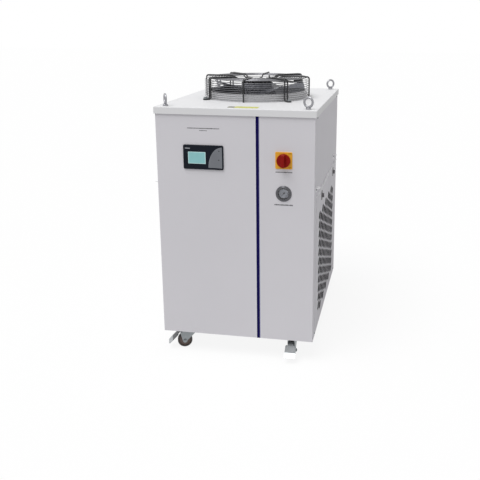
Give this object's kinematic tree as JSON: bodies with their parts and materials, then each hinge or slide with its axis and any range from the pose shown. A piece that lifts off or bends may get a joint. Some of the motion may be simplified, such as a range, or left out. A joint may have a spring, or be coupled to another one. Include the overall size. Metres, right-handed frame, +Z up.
{
  "type": "recirculating chiller",
  "caption": "Upright sheet-metal water chiller on casters: roof fan with wire guard, controller, rotary main switch, pressure gauge and a pierced air intake on one side.",
  "frame": {"origin": "on the floor, under the middle of the machine's overall box", "axes": "+X to the right of a person facing the front, +Y from the front to the back, +Z up"},
  "size_m": [0.674, 0.9572, 1.1505],
  "materials": {
    "cabinet_paint": "light grey powder coat, fine satin",
    "lid_paint": "near white powder coat, fine satin",
    "stripe_blue": "deep blue gloss band",
    "frame_paint": "grey powder coat",
    "galvanised": "galvanised sheet, dull",
    "zinc": "bright zinc plate",
    "guard_paint": "dark grey coated wire",
    "collar_paint": "pale satin coat",
    "fan_black": "black satin coat",
    "black_plastic": "matt black",
    "controller_black": "glossy black",
    "display": "pale blue-green liquid crystal display",
    "switch_yellow": "signal yellow",
    "switch_red": "dark red",
    "gauge_black": "grey-black enamel",
    "dial_face": "off-white printed dial",
    "pointer_black": "black",
    "clear_glass": "clear",
    "coil": "finned aluminium with copper bends",
    "screen_black": "black woven mesh in a frame",
    "compressor_black": "black enamel",
    "tank_steel": "stainless sheet",
    "pump_blue": "blue-grey enamel",
    "copper": "copper tube",
    "hose_black": "black rubber hose",
    "port_brass": "nickelled brass",
    "clear_tube": "clear sight tube with pale end blocks",
    "tread": "dark brown-grey rubber"
  },
  "bodies": {
    "cabinet": {"base_pan": "galvanised", "frame": "frame_paint", "front_panel_left": "cabinet_paint", "front_panel_right": "cabinet_paint", "stripe_trim": "stripe_blue", "side_panel_right": "cabinet_paint", "intake_panel": "cabinet_paint", "side_panel_left": "cabinet_paint", "service_panel": "cabinet_paint", "rear_panel": "cabinet_paint", "top_cover": "lid_paint", "side_hooks": "cabinet_paint", "latch_bezels": "black_plastic", "venturi_ring": "collar_paint", "fan_guard_rings": "guard_paint", "fan_guard_arms": "guard_paint", "fan_bolts": "zinc", "fan_motor": "fan_black", "fan_cable_box": "black_plastic", "controller_housing": "controller_black", "controller_screen": "display", "switch_plate": "switch_yellow", "switch_body": "black_plastic", "gauge_case": "gauge_black", "gauge_dial": "dial_face", "gauge_lens": "clear_glass", "condenser_coil": "coil", "dust_screen": "screen_black", "compressor": "compressor_black", "water_tank": "tank_steel", "water_pump": "pump_blue", "refrigerant_pipes": "copper", "water_hoses": "hose_black", "electrical_box": "galvanised", "water_ports": "port_brass", "drain_valve": "port_brass", "level_gauge": "clear_tube", "cable_gland": "black_plastic", "lifting_eyes": "zinc", "panel_screws": "zinc", "caster_plates": "zinc", "rear_caster_brackets": "zinc", "rear_axles": "zinc"},
    "fan_wheel": {"fan_rotor": "fan_black"},
    "switch_handle": {"switch_knob": "switch_red"},
    "pointer": {"gauge_needle": "pointer_black"},
    "front_latch": {"latch_front": "black_plastic"},
    "rear_latch": {"latch_rear": "black_plastic"},
    "tank_cap": {"fill_cap": "black_plastic"},
    "drain_lever": {"drain_handle": "switch_red"},
    "left_swivel": {"caster_fork_left": "zinc", "front_axle_left": "zinc"},
    "right_swivel": {"caster_fork_right": "zinc", "front_axle_right": "zinc"},
    "front_left_wheel": {"wheel_front_left": "tread"},
    "front_right_wheel": {"wheel_front_right": "tread"},
    "rear_left_wheel": {"wheel_rear_left": "tread"},
    "rear_right_wheel": {"wheel_rear_right": "tread"},
    "left_brake": {"brake_pedal_left": "zinc"},
    "right_brake": {"brake_pedal_right": "zinc"}
  },
  "joints": [
    {"name": "fan_spin", "type": "hinge", "parent": "cabinet", "child": "fan_wheel", "pos_m": [0, -0.00779, 1.095], "axis": [0, 0, 1], "continuous": true},
    {"name": "main_switch", "type": "hinge", "parent": "cabinet", "child": "switch_handle", "pos_m": [0.1975, -0.44329, 0.8583], "axis": [0, 1, 0], "range_deg": [0, 90]},
    {"name": "gauge_pointer", "type": "hinge", "parent": "cabinet", "child": "pointer", "pos_m": [0.1975, -0.44329, 0.725], "axis": [0, 1, 0], "range_deg": [0, 270]},
    {"name": "front_latch_turn", "type": "hinge", "parent": "cabinet", "child": "front_latch", "pos_m": [0.3205, -0.21079, 0.666], "axis": [1, 0, 0], "range_deg": [0, 90]},
    {"name": "rear_latch_turn", "type": "hinge", "parent": "cabinet", "child": "rear_latch", "pos_m": [0.3205, 0.25221, 0.666], "axis": [1, 0, 0], "range_deg": [0, 90]},
    {"name": "cap_off", "type": "slide", "parent": "cabinet", "child": "tank_cap", "axis": [0, 0.7071, 0.7071], "range_m": [0, 0.04]},
    {"name": "drain_turn", "type": "hinge", "parent": "cabinet", "child": "drain_lever", "pos_m": [-0.155, 0.44371, 0.14], "axis": [0, 0, 1], "range_deg": [0, 90]},
    {"name": "left_caster_swivel", "type": "hinge", "parent": "cabinet", "child": "left_swivel", "pos_m": [-0.228, -0.37979, 0.085], "axis": [0, 0, 1], "continuous": true},
    {"name": "front_left_wheel_roll", "type": "hinge", "parent": "left_swivel", "child": "front_left_wheel", "pos_m": [-0.24867, -0.38731, 0.0315], "axis": [0.342, -0.9397, 0], "continuous": true},
    {"name": "left_brake_press", "type": "hinge", "parent": "left_swivel", "child": "left_brake", "pos_m": [-0.26183, -0.3921, 0.074], "axis": [0.342, -0.9397, 0], "range_deg": [0, 16]},
    {"name": "rear_left_wheel_roll", "type": "hinge", "parent": "cabinet", "child": "rear_left_wheel", "pos_m": [-0.228, 0.36421, 0.0315], "axis": [1, 0, 0], "continuous": true},
    {"name": "right_caster_swivel", "type": "hinge", "parent": "cabinet", "child": "right_swivel", "pos_m": [0.228, -0.37979, 0.085], "axis": [0, 0, 1], "continuous": true},
    {"name": "front_right_wheel_roll", "type": "hinge", "parent": "right_swivel", "child": "front_right_wheel", "pos_m": [0.228, -0.40179, 0.0315], "axis": [1, 0, 0], "continuous": true},
    {"name": "right_brake_press", "type": "hinge", "parent": "right_swivel", "child": "right_brake", "pos_m": [0.228, -0.41579, 0.074], "axis": [1, 0, 0], "range_deg": [0, 16]},
    {"name": "rear_right_wheel_roll", "type": "hinge", "parent": "cabinet", "child": "rear_right_wheel", "pos_m": [0.228, 0.36421, 0.0315], "axis": [1, 0, 0], "continuous": true}
  ]
}
